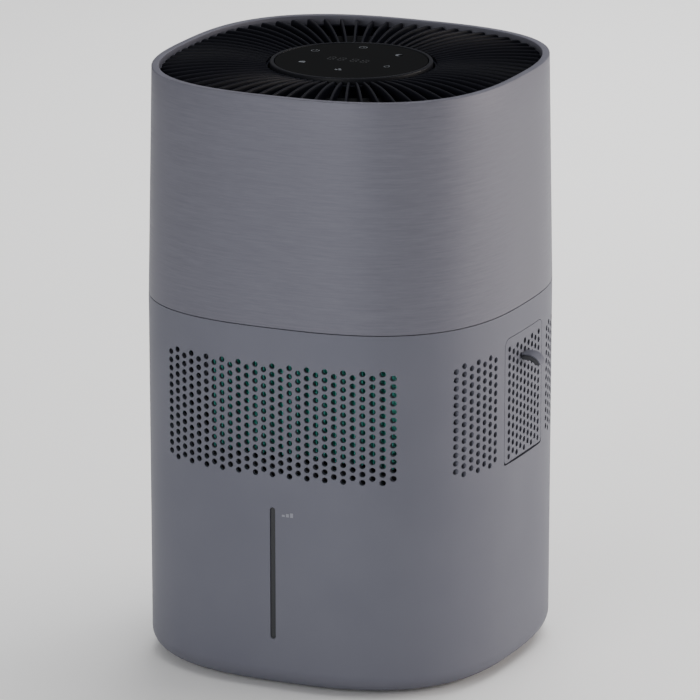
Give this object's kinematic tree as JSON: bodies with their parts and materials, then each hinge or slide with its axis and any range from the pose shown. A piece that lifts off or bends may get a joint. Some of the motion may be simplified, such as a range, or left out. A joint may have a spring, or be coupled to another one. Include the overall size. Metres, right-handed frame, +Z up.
{
  "type": "dehumidifier",
  "caption": "Compact rounded-square tower dehumidifier: perforated intake bands, radial top outlet, round touch panel, rear tank drawer and hinged filter door.",
  "frame": {"origin": "centre of the standing pad under the base, level with the feet", "axes": "+Z up, -Y is the front with the level window, +X is the side with the filter door"},
  "size_m": [0.2312, 0.22, 0.3515],
  "materials": {
    "smooth_case": "satin moulded, slate grey",
    "brushed_case": "fine horizontal brushed grain, slate grey",
    "dark_plastic": "matt moulded",
    "panel_plastic": "satin moulded ring",
    "black_plastic": "matt moulded",
    "grille_plastic": "satin moulded",
    "clear_plastic": "clear, smoke tint",
    "coated_fins": "teal water-shedding coating",
    "bare_aluminium": "extruded",
    "ceramic": "alumina, matt white",
    "foam": "closed-cell foam",
    "float_foam": "expanded foam",
    "filter_mesh": "woven nylon mesh",
    "circuit_board": "solder mask",
    "touch_glass": "black printed, glossy",
    "steel": "zinc plated",
    "rubber": "matt"
  },
  "bodies": {
    "casing": {"lower_shell": "smooth_case", "upper_shell": "brushed_case", "base_plate": "dark_plastic", "foot_1": "rubber", "foot_2": "rubber", "foot_3": "rubber", "foot_4": "rubber", "base_screw_1": "steel", "base_screw_2": "steel", "base_screw_3": "steel", "base_screw_4": "steel", "level_lens": "clear_plastic", "deck": "dark_plastic", "drip_tray": "dark_plastic", "cold_sink": "coated_fins", "cooling_module_left": "ceramic", "cooling_module_right": "ceramic", "module_gasket": "foam", "hot_sink": "bare_aluminium", "clamp_screw_1": "steel", "clamp_screw_2": "steel", "clamp_screw_3": "steel", "clamp_screw_4": "steel", "power_board": "circuit_board", "power_inlet": "black_plastic", "humidity_sensor": "circuit_board", "hinge_pin_front": "steel", "hinge_pin_rear": "steel", "fan_duct": "black_plastic", "fan_motor": "steel", "motor_screw_1": "steel", "motor_screw_2": "steel", "motor_screw_3": "steel", "top_grille": "grille_plastic", "panel_housing": "panel_plastic", "touch_glass": "touch_glass", "display_board": "circuit_board"},
    "filter_door": {"side_door": "smooth_case", "door_pull": "dark_plastic", "filter_frame": "dark_plastic", "filter_mesh": "filter_mesh"},
    "tank_drawer": {"tank": "clear_plastic", "tank_lid": "dark_plastic", "tank_panel": "smooth_case", "float_pin": "steel"},
    "float_arm": {"float": "float_foam"},
    "fan": {"fan_impeller": "black_plastic", "motor_shaft": "steel"}
  },
  "joints": [
    {"name": "door_hinge", "type": "hinge", "parent": "casing", "child": "filter_door", "pos_m": [0.1074, 0, 0.1288], "axis": [0, 1, 0], "range_deg": [0, 80]},
    {"name": "tank_slide", "type": "slide", "parent": "casing", "child": "tank_drawer", "axis": [0, 1, 0], "range_m": [0, 0.19]},
    {"name": "float_hinge", "type": "hinge", "parent": "tank_drawer", "child": "float_arm", "pos_m": [-0.05, 0.041, 0.098], "axis": [1, 0, 0], "range_deg": [0, 22]},
    {"name": "fan_spin", "type": "hinge", "parent": "casing", "child": "fan", "pos_m": [0, 0, 0.3], "axis": [0, 0, 1], "continuous": true}
  ]
}
